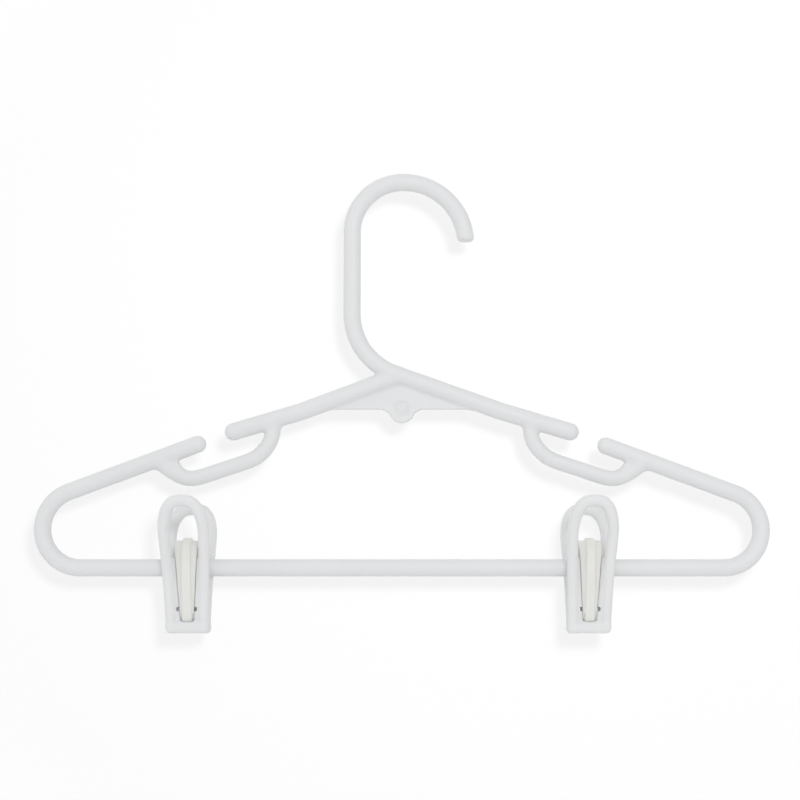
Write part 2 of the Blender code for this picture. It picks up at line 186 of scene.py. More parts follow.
# Jaw blocks: centre, half size and edge radius
FOOT = ((0.0, -1.5, -25.5), (9.1, 3.8, 2.5), 2.0)
BELOW_FOOT = ((0.0, -3.0, -29.95), (14.0, 8.0, 1.9), 0.0)
FLOOR = ((0.0, -2.4, -14.2), (6.4, 0.8, 10.2), 0.15)
LUG = ((7.5, -4.8, 0.0), (1.8, 2.6, 5.0), 0.6)
SLOT = ((0.0, -2.0, -17.8), (4.5, 5.0, 0.85), 0.4)
BEHIND_HALF = (14.0, 4.0, 40.0)
JAW_FILLETS = {"rods": 0.5, "foot": 1.0, "below_foot": 0.3, "floor": 0.5, "ledge": 1.3, "lug": 0.9,
               "saddle": 0.35, "behind": 0.4, "slot": 0.25, "groove": 0.15}

# Spring, in mm from the bar's axis
LEAF_RISE = 11.1
LEAF_BEND_R = 5.9
LEAF_BEND_STEPS = 24
LEAF_LEG = ((-5.9, 5.2), (-5.8, 2.0), (-5.65, -1.0), (-5.4, -5.0), (-4.75, -11.0), (-4.0, -17.0),
            (-3.2, -23.05))         # depth and height of the leg's mid surface
LEAF_LENGTH = 33.95
LEAF_T = 1.4
LEAF_HALF = (5.1, 2.3)              # half width at the top, and how much it narrows
LEAF_RIB = (1.15, 0.5)              # rib's rise at the top, and how much it flattens
RIB_HALF = 1.9
RIB_FALL = 0.45
RIB_ROUND = 0.6
RIB_STEPS = 4
LEAF_EDGE_STEPS = 6
LEG_END = (0.9, 0.5, 0.25)          # how much a leg's rounded end narrows, flattens and thins
LEG_END_STEPS = 5
LEG_SPANS = 10

# Plastics: light and dark colour of the flow marks, roughness, glow under the skin, parting line
PLASTICS = {
    "white_polypropylene": ((0.800, 0.810, 0.818), (0.784, 0.794, 0.803), 0.40, 0.20, True),
    "white_jaw_polypropylene": ((0.808, 0.818, 0.824), (0.788, 0.798, 0.806), 0.40, 0.50, False),
    "cream_acetal": ((0.840, 0.842, 0.804), (0.820, 0.820, 0.777), 0.40, 0.45, False),
}
# Material detail: noise scale, detail and roughness; bump strength and distance in metres
NOISES = {"flow": (38.0, 3.0, 0.55), "gloss": (260.0, 4.0, 0.6), "skin": (2600.0, 3.0, 0.5),
          "peel": (330.0, 2.0, 0.5)}
BUMPS = {"skin": (0.10, 0.00003), "peel": (0.12, 0.0001), "seam": (0.5, 0.00006)}
FLOW_LEVELS = (0.3, 0.7)            # noise levels of the dark and the light colour
GLOSS_RANGE = (-0.05, 0.07)         # about the plastic's roughness
SEAM_WIDTH = (0.00022, 0.00004)     # metres off the mid plane where the line starts, and is full
PLASTIC_IOR = 1.49
PLASTIC_SPECULAR = 0.25
GLOW_RADIUS = (1.0, 0.95, 0.85)     # for red, green and blue
GLOW_DEPTH = 0.003                  # metres

# Stage
CAMERA_TARGET = (-0.79 * MM, 0.0, -94.2 * MM)
CAMERA_DISTANCE = 606.5 * MM
CAMERA_PITCH = math.radians(6.0)
CAMERA_FOCAL = 1380.6 / 800.0       # in picture widths
CAMERA_CLIP = (0.01, 20.0)
SENSOR_WIDTH = 36.0
WORLD_LEVEL = 0.712
WORLD_LEAN = (-0.12, -0.08, 0.09)
WORLD_BACK = 1.01
WORLD_PATCH = (0.62, 0.86)          # Y of a direction where the white patch starts, and is full
LIGHT_TARGET = (0.0, 0.0, -0.095)
KEY_PLACE = (0.27, -1.15, 0.22)
KEY_SIZE = 0.22
KEY_POWER = 2.4
SHEET_PLACE = (0.0, 23.0 * MM, -95.0 * MM)
SHEET_HALF = 0.34
SHEET_WHITE = (0.95, 0.95, 0.95, 1.0)
SHEET_OPACITY = 0.04
SHEET_TINT = 0.893
SHEET_RADIUS = (0.20, 0.32)         # where the sheet starts to fade, and where it is gone
SHEET_LIGHT = (0.117, -0.68, 0.005)
SHEET_LIGHT_SIZE = 0.12
SHEET_POWER = 14.6
FLOOR_RADIUS = 1.7
FLOOR_Z = -0.62
FLOOR_SIDES = 96
FLOOR_GRAIN = (6.0, 4.0)            # noise scale and detail
FLOOR_TONES = ((0.0, (0.90, 0.90, 0.90)), (1.0, (0.94, 0.94, 0.94)))
FLOOR_ROUGHNESS = 0.9


# ---------------------------------------------------------------- distance fields

def segment(p0, p1, r0, r1=None):
    """Rod between two points, with a radius at each end."""
    a = np.array(p0, float)
    v = np.array(p1, float) - a
    length = float(v @ v)
    r1 = r0 if r1 is None else r1
    reach = max(r0, r1)

    def dist(p):
        d = p - a
        h = np.clip((d @ v) / length, 0.0, 1.0)
        return np.linalg.norm(d - h[..., None] * v, axis=-1) - (r0 + (r1 - r0) * h)

    low = np.minimum(a, a + v) - reach
    high = np.maximum(a, a + v) + reach
    return dist, low, high


def bow(cx, cz, radius, start, end, r):
    """Rod that follows an arc in the XZ plane."""
    mid = (start + end) / 2
    half = abs(end - start) / 2
    ends = [np.array((cx + radius * math.cos(a), 0.0, cz + radius * math.sin(a)))
            for a in (start, end)]

    def dist(p):
        x = p[..., 0] - cx
        z = p[..., 2] - cz
        turn = np.arctan2(z, x) - mid
        turn = np.abs((turn + np.pi) % (2 * np.pi) - np.pi)
        on_arc = np.hypot(np.hypot(x, z) - radius, p[..., 1])
        off = np.minimum(*(np.linalg.norm(p - tip, axis=-1) for tip in ends))
        return np.where(turn <= half, on_arc, off) - r

    sweep = [start + (end - start) * k / ARC_STEPS for k in range(ARC_STEPS + 1)]
    xs = [cx + radius * math.cos(a) for a in sweep]
    zs = [cz + radius * math.sin(a) for a in sweep]
    pad = r + ARC_SPARE
    low = np.array((min(xs) - pad, -pad, min(zs) - pad))
    high = np.array((max(xs) + pad, pad, max(zs) + pad))
    return dist, low, high


def block(centre, half, edge, turn=0.0):
    """Box with rounded edges, turned about X."""
    c = np.array(centre, float)
    h = np.array(half, float) - edge
    ca, sa = math.cos(turn), math.sin(turn)

    def dist(p):
        d = p - c
        y = d[..., 1] * ca + d[..., 2] * sa
        z = d[..., 2] * ca - d[..., 1] * sa
        q = np.abs(np.stack((d[..., 0], y, z), axis=-1)) - h
        outside = np.linalg.norm(np.maximum(q, 0.0), axis=-1)
        return outside + np.minimum(q.max(axis=-1), 0.0) - edge

    reach = np.linalg.norm(half)
    return dist, c - reach, c + reach


def plate(outline, depth, edge):
    """Flat plate in the XZ plane with rounded edges, from a polygon."""
    pts = np.array(outline, float)

    def dist(p):
        x, z = p[..., 0], p[..., 2]
        best = np.full(x.shape, 1e9)
        inside = np.zeros(x.shape, bool)
        for (x0, z0), (x1, z1) in zip(pts, np.roll(pts, -1, axis=0)):
            ex, ez = x1 - x0, z1 - z0
            wx, wz = x - x0, z - z0
            t = np.clip((wx * ex + wz * ez) / (ex * ex + ez * ez), 0.0, 1.0)
            best = np.minimum(best, (wx - ex * t) ** 2 + (wz - ez * t) ** 2)
            crosses = (z0 > z) != (z1 > z)
            inside ^= crosses & (x < ex * (z - z0) / (z1 - z0 if z1 != z0 else 1.0) + x0)
        flat = np.where(inside, -np.sqrt(best), np.sqrt(best)) + edge
        deep = np.abs(p[..., 1]) - depth / 2 + edge
        outside = np.hypot(np.maximum(flat, 0.0), np.maximum(deep, 0.0))
        return outside + np.minimum(np.maximum(flat, deep), 0.0) - edge

    low = np.array((pts[:, 0].min(), -depth / 2, pts[:, 1].min()))
    high = np.array((pts[:, 0].max(), depth / 2, pts[:, 1].max()))
    return dist, low, high


def barrel(axis, centre, radius, half):
    """Cylinder along X or Y through a centre point."""
    c = np.array(centre, float)
    k = "XY".index(axis)
    others = [i for i in range(3) if i != k]

    def dist(p):
        d = p - c
        round_ = np.hypot(d[..., others[0]], d[..., others[1]]) - radius
        return np.maximum(round_, np.abs(d[..., k]) - half)

    reach = np.full(3, radius)
    reach[k] = half
    return dist, c - reach, c + reach


def smooth_min(a, b, k):
    """Smaller of two distances, with a fillet of size k where they meet."""
    h = np.maximum(k - np.abs(a - b), 0.0) / k
    return np.minimum(a, b) - h * h * k * 0.25


def merge(total, group, sign, fillet):
    """Joins a group of parts to a solid's distances, or cuts it away where sign is -1."""
    return sign * smooth_min(sign * total, group, fillet)


class Solid:
    """Groups of rods and blocks, joined with fillets of a given size or cut away."""

    def __init__(self):
        self.steps = []

    def add(self, parts, fillet):
        self.steps.append((1.0, parts, fillet))

    def cut(self, parts, fillet):
        self.steps.append((-1.0, parts, fillet))

    def box(self):
        adds = [p for sign, parts, _ in self.steps if sign > 0 for p in parts]
        return np.min([p[1] for p in adds], axis=0), np.max([p[2] for p in adds], axis=0)

    def near(self, points):
        """For each part, the indices of the points that lie close to it."""
        found = []
        for sign, parts, fillet in self.steps:
            pad = fillet + NEAR_REACH
            close = []
            for dist, low, high in parts:
                at = np.flatnonzero(np.all((points > low - pad) & (points < high + pad), axis=1))
                if len(at):
                    close.append((dist, at))
            found.append((sign, close, fillet))
        return found

    def at(self, points, found):
        """Distance of each point, from the parts that near() found."""
        total = np.full(len(points), FAR)
        for sign, close, fillet in found:
            group = np.full(len(points), FAR)
            for dist, at in close:
                group[at] = np.minimum(group[at], dist(points[at]))
            total = merge(total, group, sign, fillet)
        return total

    def on_grid(self, low, step, shape):
        """Distances on a regular grid."""
        axes = [low[i] + step * np.arange(shape[i]) for i in range(3)]
        total = np.full(shape, FAR, np.float32)
        for sign, parts, fillet in self.steps:
            group = np.full(shape, FAR, np.float32)
            pad = fillet + GRID_REACH * step
            for dist, p_low, p_high in parts:
                first = np.clip(np.floor((p_low - pad - low) / step).astype(int), 0, shape)
                last = np.clip(np.ceil((p_high + pad - low) / step).astype(int) + 1, 0, shape)
                if np.any(last <= first):
                    continue
                spot = tuple(slice(a, b) for a, b in zip(first, last))
                mesh = np.meshgrid(*(axes[i][spot[i]] for i in range(3)), indexing="ij")
                group[spot] = np.minimum(group[spot], dist(np.stack(mesh, axis=-1)))
            total = merge(total, group, sign, fillet)
        return total

    def level(self, points, found, reach):
        """Distance and outward direction at each point, from four samples around it."""
        value = np.zeros(len(points))
        slope = np.zeros_like(points)
        for way in ((1, -1, -1), (-1, 1, -1), (-1, -1, 1), (1, 1, 1)):
            d = self.at(points + reach * np.array(way), found)
            value += d / 4
            slope += d[:, None] * np.array(way)
        return value, slope / np.maximum(np.linalg.norm(slope, axis=1, keepdims=True), 1e-12)


def surface_net(values, low, step):
    """Quad mesh of the zero level of a grid of distances."""
    shape = np.array(values.shape)
    inside = values < 0
    corners = [(i, j, k) for i in (0, 1) for j in (0, 1) for k in (0, 1)]
    cells = tuple(shape - 1)
    count = np.zeros(cells, np.uint8)
    for i, j, k in corners:
        count += inside[i:i + cells[0], j:j + cells[1], k:k + cells[2]]
    active = np.argwhere((count > 0) & (count < 8))
    index = np.full(cells, -1, np.int64)
    index[tuple(active.T)] = np.arange(len(active))
    held = np.stack([values[active[:, 0] + i, active[:, 1] + j, active[:, 2] + k]
                     for i, j, k in corners], axis=1)
    place = np.zeros((len(active), 3))
    hits = np.zeros(len(active))
    for a in range(8):
        for b in range(a + 1, 8):
            ca, cb = np.array(corners[a]), np.array(corners[b])
            if np.abs(ca - cb).sum() != 1:
                continue
            va, vb = held[:, a], held[:, b]
            cross = (va < 0) != (vb < 0)
            t = np.where(cross, va / np.where(cross, va - vb, 1.0), 0.0)
            place[cross] += ca + t[cross, None] * (cb - ca)
            hits += cross
    verts = low + step * (active + place / hits[:, None])
    quads = []
    for axis in range(3):
        u, v = (axis + 1) % 3, (axis + 2) % 3
        a = [slice(None)] * 3
        b = [slice(None)] * 3
        a[axis], b[axis] = slice(0, -1), slice(1, None)
        flips = inside[tuple(a)] != inside[tuple(b)]
        at = np.argwhere(flips)
        at = at[(at[:, u] > 0) & (at[:, v] > 0) & (at[:, u] < cells[u]) & (at[:, v] < cells[v])]
        du, dv = np.zeros(3, int), np.zeros(3, int)
        du[u], dv[v] = 1, 1
        ring = [index[tuple((at - du * m - dv * n).T)] for m, n in ((1, 1), (0, 1), (0, 0), (1, 0))]
        ring = np.stack(ring, axis=1)
        out = inside[tuple(at.T)]
        quads.append(np.where(out[:, None], ring, ring[:, ::-1]))
    return verts, np.concatenate(quads)


def relax(verts, quads):
    """Moves each vertex towards the mean of its neighbours."""
    total = np.zeros_like(verts)
    hits = np.zeros(len(verts))
    for k in range(4):
        a, b = quads[:, k], quads[:, (k + 1) % 4]
        np.add.at(total, a, verts[b])
        np.add.at(total, b, verts[a])
        np.add.at(hits, a, 1.0)
        np.add.at(hits, b, 1.0)
    return verts + RELAX_SHARE * (total / hits[:, None] - verts)


def solid_object(name, solid, step):
    """Object that follows a Solid's surface, with the normals of that surface."""
    low, high = solid.box()
    low = low - GRID_MARGIN * step
    shape = tuple(np.ceil((high + GRID_MARGIN * step - low) / step).astype(int) + 1)
    verts, quads = surface_net(solid.on_grid(low, step, shape), low, step)
    found = solid.near(verts)
    for turn in range(SMOOTHING_ROUNDS):
        if turn:
            verts = relax(verts, quads)
        for _ in range(PROJECTION_STEPS):
            gap, way = solid.level(verts, found, SLOPE_REACH * step)
            limit = MOVE_LIMIT * step
            verts = verts - np.clip(gap, -limit, limit)[:, None] * way
    normals = solid.level(verts, found, NORMAL_REACH * step)[1]
    mesh = bpy.data.meshes.new(name)
    mesh.vertices.add(len(verts))
    mesh.vertices.foreach_set("co", verts.astype(np.float32).ravel())
    mesh.loops.add(len(quads) * 4)
    mesh.loops.foreach_set("vertex_index", quads.astype(np.int32).ravel())
    mesh.polygons.add(len(quads))
    mesh.polygons.foreach_set("loop_start", np.arange(0, len(quads) * 4, 4, dtype=np.int32))
    mesh.update(calc_edges=True)
    mesh.validate()
    mesh.shade_smooth()
    mesh.normals_split_custom_set_from_vertices([tuple(n) for n in normals])
    return new_object(name, mesh)


def new_object(name, data):
    """New object, linked to the scene."""
    obj = bpy.data.objects.new(name, data)
    bpy.context.scene.collection.objects.link(obj)
    return obj


def finished_mesh(bm, name):
    """Mesh from a bmesh, which is freed."""
    mesh = bpy.data.meshes.new(name)
    bm.to_mesh(mesh)
    bm.free()
    return mesh


def skin(bm, rings):
    """Quads between rings of vertices, with a cap on the last one."""
    sides = len(rings[0])
    for low, high in zip(rings, rings[1:]):
        for k in range(sides):
            n = (k + 1) % sides
            bm.faces.new((low[k], low[n], high[n], high[k]))
    bm.faces.new(rings[-1])
    bmesh.ops.recalc_face_normals(bm, faces=bm.faces)


# ---------------------------------------------------------------- frame moulding

def flat_point(x, z):
    """Point in the frame's mid plane."""
    return (x, 0.0, z)


def outer_line(side):
    """Centre of an end loop, its radius and the ends of that side's outer arm, for positive X."""
    radius = END_LOOP_R[side]
    cx = HALF_WIDTH - RIM_R - radius
    cz = BAR_Z + radius
    touch = (cx + radius * math.sin(OUTER_SLOPE), cz + radius * math.cos(OUTER_SLOPE))
    tip = (OUTER_TIP_X, touch[1] + (touch[0] - OUTER_TIP_X) * math.tan(OUTER_SLOPE))
    return (cx, cz), radius, touch, tip


def hook_rod():
    """Hook, stem and right arm, from the hook's tip."""
    left_z = -(HOOK_LEFT_R - ARM_R) - HOOK_DROP
    right_z = -(HOOK_RIGHT_R - ARM_R) - HOOK_DROP
    stem_x = HOOK_X - HOOK_LEFT_R
    bend_x = stem_x + STEM_BEND_R
    end = math.pi + STEM_BEND_ANGLE
    foot = (bend_x + STEM_BEND_R * math.cos(end), STEM_BEND_Z + STEM_BEND_R * math.sin(end))
    return [
        bow(HOOK_X, right_z, HOOK_RIGHT_R, HOOK_TIP_ANGLE - HOOK_TIP_SPARE, math.pi / 2, ROD_R),
        bow(HOOK_X, left_z, HOOK_LEFT_R, math.pi / 2, math.pi, ROD_R),
        segment(flat_point(stem_x, left_z), flat_point(stem_x, STEM_BEND_Z), ROD_R),
        bow(bend_x, STEM_BEND_Z, STEM_BEND_R, math.pi, end, ROD_R),
        segment(flat_point(*foot), flat_point(*ARM_KNEE), ROD_R),
        segment(flat_point(*ARM_KNEE), flat_point(*ARM_TIP), ROD_R),
    ]


def hook_end_cut():
    """Block below the hook's tip that leaves it nearly flat."""
    x = HOOK_X + HOOK_RIGHT_R
    z = -(HOOK_RIGHT_R - ARM_R) + HOOK_CUT_RISE
    return [block((x, 0.0, z - HOOK_CUT_HALF[2]), HOOK_CUT_HALF, 0.0)]


def left_arm():
    """Left inner arm, from the apex to its stub end."""
    knee = (-ARM_KNEE[0], ARM_KNEE[1])
    tip = (-ARM_TIP[0], ARM_TIP[1])
    return [segment(flat_point(*APEX), flat_point(*knee), ROD_R),
            segment(flat_point(*knee), flat_point(*tip), ROD_R)]


def rim_rod():
    """Outer arms, end loops and trouser bar."""
    turn = math.pi / 2 - OUTER_SLOPE
    rods = []
    inner = []
    for side in (-1, 1):
        (cx, cz), radius, touch, tip = outer_line(side)
        inner.append(flat_point(side * cx, BAR_Z))
        if side > 0:
            rods.append(bow(cx, cz, radius, -math.pi / 2, turn, RIM_R))
        else:
            rods.append(bow(-cx, cz, radius, math.pi - turn, 1.5 * math.pi, RIM_R))
        rods.append(segment(flat_point(side * touch[0], touch[1]), flat_point(side * tip[0], tip[1]),
                            RIM_R))
    rods.append(segment(*inner, RIM_R))
    return rods


def smooth_path(points, per_span):
    """Catmull-Rom curve through the points."""
    pts = [Vector(p) for p in points]
    ends = [pts[0] * 2 - pts[1]] + pts + [pts[-1] * 2 - pts[-2]]
    out = []
    for i in range(1, len(ends) - 2):
        p0, p1, p2, p3 = ends[i - 1:i + 3]
        for k in range(per_span):
            t = k / per_span
            out.append(0.5 * (2 * p1 + (p2 - p0) * t + (2 * p0 - 5 * p1 + 4 * p2 - p3) * t * t
                              + (3 * p1 - p0 - 3 * p2 + p3) * t ** 3))
    out.append(pts[-1])
    return out


def strap_rod(side):
    """Loop below a notch, from the inner arm to the outer one."""
    path = smooth_path([flat_point(side * x * MM, z * MM) for x, z in STRAP_SPOTS], STRAP_SPANS)
    return [segment(a, b, STRAP_R) for a, b in zip(path, path[1:])]


def strap_web(side):
    """Thicker corner where a strap meets the outer arm."""
    return [plate([(side * x * MM, z * MM) for x, z in STRAP_WEB], STRAP_WEB_T, STRAP_WEB_EDGE)]


def web_plate():
    """Thin web under the apex with its round lobe."""
    lobe = []
    for k in range(ARC_STEPS + 1):
        a = math.radians(180.0 + 180.0 * k / ARC_STEPS)
        lobe.append((LOBE_R * math.cos(a), LOBE_Z + LOBE_R * math.sin(a)))
    lobe = [p for p in lobe if p[1] < WEB_BOTTOM_Z - LOBE_START]
    flank = [(x * MM, WEB_BOTTOM_Z + z * MM) for x, z in WEB_FLANK]
    other = [(-x, z) for x, z in reversed(flank)]
    outline = [(-WEB_HALF, WEB_BOTTOM_Z)] + flank + lobe + other + [(WEB_HALF, WEB_BOTTOM_Z)]
    outline += [(WEB_TOP_HALF, WEB_TOP_Z), (-WEB_TOP_HALF, WEB_TOP_Z)]
    return [plate(outline, WEB_T, WEB_EDGE)]


def build_frame():
    """The whole frame moulding, but for its gate marks."""
    solid = Solid()
    solid.add(hook_rod(), HOOK_FILLET)
    solid.cut(hook_end_cut(), HOOK_CUT_FILLET)
    solid.add(left_arm(), ARM_FILLET)
    solid.add(rim_rod(), HOOK_FILLET)
    for side in (-1, 1):
        solid.add(strap_web(side), ARM_FILLET)
        solid.add(strap_rod(side), STRAP_FILLET)
    solid.add(web_plate(), WEB_FILLET)
    for face in (-1.0, 1.0):
        centre = (0.0, face * (WEB_T / 2 - GATE_DEPTH + GATE_TOOL), GATE_Z)
        solid.cut([barrel("Y", centre, GATE_R, GATE_TOOL)], GATE_FILLET)
    return solid_object("frame_moulding", solid, GRID_FRAME)


def gate_mark(name, facing):
    """Turned ring with a nub, set in the web's recess."""
    bm = bmesh.new()
    rings = []
    for radius, height in GATE_PROFILE:
        y = facing * (WEB_T / 2 + height * MM)
        turns = [2 * math.pi * k / GATE_TURNS for k in range(GATE_TURNS)]
        rings.append([bm.verts.new((radius * MM * math.cos(a), y, GATE_Z + radius * MM * math.sin(a)))
                      for a in turns])
    skin(bm, rings)
    mesh = finished_mesh(bm, name)
    mesh.shade_smooth()
    return new_object(name, mesh)


# ---------------------------------------------------------------- jaws

def side_y(z):
    """Depth of a jaw's rods at a height, from the bar's axis."""
    for (z0, y0), (z1, y1) in zip(SIDE_DEPTHS, SIDE_DEPTHS[1:]):
        if z <= z1:
            return y0 + (y1 - y0) * (z - z0) / (z1 - z0)
    return SIDE_DEPTHS[-1][1]


def jaw_rods():
    """Finger loop and side rods, from one foot over the crown to the other."""
    stations = list(SIDE_STATIONS)
    for k in range(1, CROWN_STEPS + 1):
        a = math.radians(90.0 * k / CROWN_STEPS)
        z = CROWN_Z + (CROWN_TOP_Z - CROWN_Z) * math.sin(a)
        x = CROWN_HALF * math.cos(a) ** CROWN_POWER if k < CROWN_STEPS else 0.0
        r = CROWN_R[0] + CROWN_R[1] * math.sin(a) ** 2 + CROWN_R[2] * math.sin(2 * a)
        stations.append((z, x, r))
    ys = [sum(side_y(z + s) for s in SIDE_MEAN) / len(SIDE_MEAN) for z, _, _ in stations]
    right = [(x, y, z) for (z, x, _), y in zip(stations, ys)]
    points = right + [(-x, y, z) for x, y, z in reversed(right[:-1])]
    radii = [r for _, _, r in stations]
    radii += list(reversed(radii[:-1]))
    path = smooth_path([tuple(c * MM for c in p) for p in points], ROD_SPANS)
    rs = []
    for a, b in zip(radii, radii[1:]):
        rs += [a + (b - a) * k / ROD_SPANS for k in range(ROD_SPANS)]
    rs.append(radii[-1])
    return [segment(p, q, r0 * MM, r1 * MM) for p, q, r0, r1 in zip(path, path[1:], rs, rs[1:])]


def mm_block(centre, half, edge, turn=0.0):
    """Block with its sizes in mm."""
    return block([c * MM for c in centre], [h * MM for h in half], edge * MM, turn)


def ledge_rods(side):
    """Soft ledge between a side rod and the spring's leg."""
    path = smooth_path([(side * x * MM, y * MM, z * MM) for x, y, z in LEDGE_SPOTS], LEDGE_SPANS)
    return [segment(a, b, LEDGE_R * MM) for a, b in zip(path, path[1:])]


def build_jaw():
    """One jaw, facing -Y, with the bar's axis at its origin."""
    solid = Solid()
    fillet = {kind: size * MM for kind, size in JAW_FILLETS.items()}
    solid.add(jaw_rods(), fillet["rods"])
    solid.add([mm_block(*FOOT)], fillet["foot"])
    solid.cut([mm_block(*BELOW_FOOT)], fillet["below_foot"])
    solid.add([mm_block(*FLOOR, FLOOR_LEAN)], fillet["floor"])
    (x, y, z), half, edge = LUG
    for side in (-1, 1):
        solid.add(ledge_rods(side), fillet["ledge"])
        solid.add([mm_block((side * x, y, z), half, edge)], fillet["lug"])
    saddle = barrel("X", (0.0, 0.0, 0.0), RIM_R + BAR_GAP, SADDLE_HALF * MM)
    solid.cut([saddle], fillet["saddle"])
    solid.cut([mm_block((0.0, BEHIND_HALF[1] + JAW_FACE_Y, 0.0), BEHIND_HALF, 0.0)], fillet["behind"])
    solid.cut([mm_block(*SLOT)], fillet["slot"])
    for z in GROOVE_Z:
        groove = mm_block((0.0, JAW_FACE_Y + GROOVE_DEPTH, z), GROOVE_HALF, 0.0, math.pi / 4)
        solid.cut([groove], fillet["groove"])
    return solid_object("jaw", solid, GRID_JAW)


# ---------------------------------------------------------------- springs

def leaf_path():
    """Mid surface of half a leaf from the top of its bend to the leg's end, as (y, z) pairs."""
    pts = []
    for k in range(LEAF_BEND_STEPS + 1):
        a = math.radians(90.0 + 90.0 * k / LEAF_BEND_STEPS)
        pts.append((LEAF_BEND_R * math.cos(a), LEAF_RISE - LEAF_BEND_R + LEAF_BEND_R * math.sin(a)))
    curve = smooth_path([(y, z, 0.0) for y, z in LEAF_LEG], LEG_SPANS)
    return pts + [(p.x, p.y) for p in curve[1:]]


def leaf_section(width, rise, thick):
    """Outline of the leaf across its length: flat with rounded edges and a raised rib."""
    out = []
    half = thick / 2
    for k in range(LEAF_EDGE_STEPS + 1):
        a = math.radians(-90.0 + 180.0 * k / LEAF_EDGE_STEPS)
        out.append((width - half + half * math.cos(a), half * math.sin(a)))
    for k in range(RIB_STEPS + 1):
        t = k / RIB_STEPS
        out.append((RIB_HALF + RIB_FALL * (1 - t) ** 2, half + rise * 0.5 * t))
    for k in range(1, RIB_STEPS + 1):
        a = math.radians(90.0 * k / RIB_STEPS)
        out.append((RIB_HALF - RIB_ROUND + RIB_ROUND * math.cos(a),
                    half + rise * (0.5 + 0.5 * math.sin(a))))
    return out + [(-x, y) for x, y in reversed(out)]


def spring_half(name, facing, place):
    """Half of a spring, from the middle of its bend down one leg."""
    path = leaf_path()
    bm = bmesh.new()
    rings = []
    count = len(path)
    for i, (y, z) in enumerate(path):
        y0, z0 = path[max(i - 1, 0)]
        y1, z1 = path[min(i + 1, count - 1)]
        if i == 0:
            y0, z0 = -y1, z1
        length = math.hypot(y1 - y0, z1 - z0)
        out_y, out_z = (z1 - z0) / length, -(y1 - y0) / length
        share = min(1.0, (LEAF_RISE - z) / LEAF_LENGTH)
        width = LEAF_HALF[0] - LEAF_HALF[1] * share
        rise = LEAF_RIB[0] - LEAF_RIB[1] * share
        thick = LEAF_T
        into_end = i - (count - 1 - LEG_END_STEPS)
        if into_end > 0:
            step = into_end / LEG_END_STEPS
            inset = 1.0 - math.sqrt(max(0.0, 1.0 - step * step))
            width -= LEG_END[0] * inset
            rise -= LEG_END[1] * inset
            thick -= LEG_END[2] * inset
        ring = []
        for u, v in leaf_section(width, rise, thick):
            spot = (facing * u, facing * (y + out_y * v), z + out_z * v)
            ring.append(bm.verts.new([c * MM for c in spot]))
        rings.append(ring)
    skin(bm, rings)
    mesh = finished_mesh(bm, name)
    mesh.transform(place)
    mesh.shade_smooth()
    return new_object(name, mesh)


# ---------------------------------------------------------------- materials

def node(tree, kind, **values):
    """New node; each value goes to the input of that name, or else to the setting."""
    made = tree.nodes.new(kind)
    for key, value in values.items():
        if key in made.inputs:
            made.inputs[key].default_value = value
        else:
            setattr(made, key, value)
    return made


def map_range(tree, source, low, high, start, end, kind="SMOOTHSTEP"):
    """Node that maps a value from low..high to start..end."""
    made = node(tree, "ShaderNodeMapRange", interpolation_type=kind,
                **{"From Min": low, "From Max": high, "To Min": start, "To Max": end})
    tree.links.new(source, made.inputs["Value"])
    return made.outputs["Result"]


def bump(tree, height, strength, distance, below=None):
    """Bump node over another bump's normals."""
    made = node(tree, "ShaderNodeBump", Strength=strength, Distance=distance)
    tree.links.new(height, made.inputs["Height"])
    if below is not None:
        tree.links.new(below, made.inputs["Normal"])
    return made.outputs["Normal"]


def colour_ramp(tree, source, stops):
    """Colour ramp with two stops, each a position and a colour."""
    made = node(tree, "ShaderNodeValToRGB")
    for element, (position, colour) in zip(made.color_ramp.elements, stops):
        element.position = position
        element.color = (*colour, 1.0)
    tree.links.new(source, made.inputs["Fac"])
    return made.outputs["Color"]


def moulded(name):
    """Satin moulded plastic: faint flow variation, fine skin texture and a parting line."""
    light, dark, rough, glow, seam = PLASTICS[name]
    mat = bpy.data.materials.new(name)
    mat.use_nodes = True
    tree = mat.node_tree
    shader = tree.nodes["Principled BSDF"]
    link = tree.links.new
    coords = node(tree, "ShaderNodeTexCoord").outputs["Object"]

    def noise(kind):
        scale, detail, roughness = NOISES[kind]
        made = node(tree, "ShaderNodeTexNoise", Scale=scale, Detail=detail, Roughness=roughness)
        link(coords, made.inputs["Vector"])
        return made.outputs["Fac"]

    tones = tuple(zip(FLOW_LEVELS, (dark, light)))
    link(colour_ramp(tree, noise("flow"), tones), shader.inputs["Base Color"])
    ends = [rough + off for off in GLOSS_RANGE]
    link(map_range(tree, noise("gloss"), 0.0, 1.0, *ends, "LINEAR"), shader.inputs["Roughness"])
    normal = bump(tree, noise("skin"), *BUMPS["skin"])
    normal = bump(tree, noise("peel"), *BUMPS["peel"], normal)
    if seam:
        split = node(tree, "ShaderNodeSeparateXYZ")
        link(coords, split.inputs["Vector"])
        off = node(tree, "ShaderNodeMath", operation="ABSOLUTE")
        link(split.outputs["Y"], off.inputs[0])
        ridge = map_range(tree, off.outputs["Value"], *SEAM_WIDTH, 0.0, 1.0)
        normal = bump(tree, ridge, *BUMPS["seam"], normal)
    link(normal, shader.inputs["Normal"])
    shader.inputs["IOR"].default_value = PLASTIC_IOR
    shader.inputs["Specular IOR Level"].default_value = PLASTIC_SPECULAR
    shader.inputs["Subsurface Weight"].default_value = glow
    shader.inputs["Subsurface Radius"].default_value = GLOW_RADIUS
    shader.inputs["Subsurface Scale"].default_value = GLOW_DEPTH
    return mat


def finish_piece(obj, mat):
    """Gives a piece its plastic."""
    obj.data.materials.clear()
    obj.data.materials.append(mat)


# ---------------------------------------------------------------- assembly

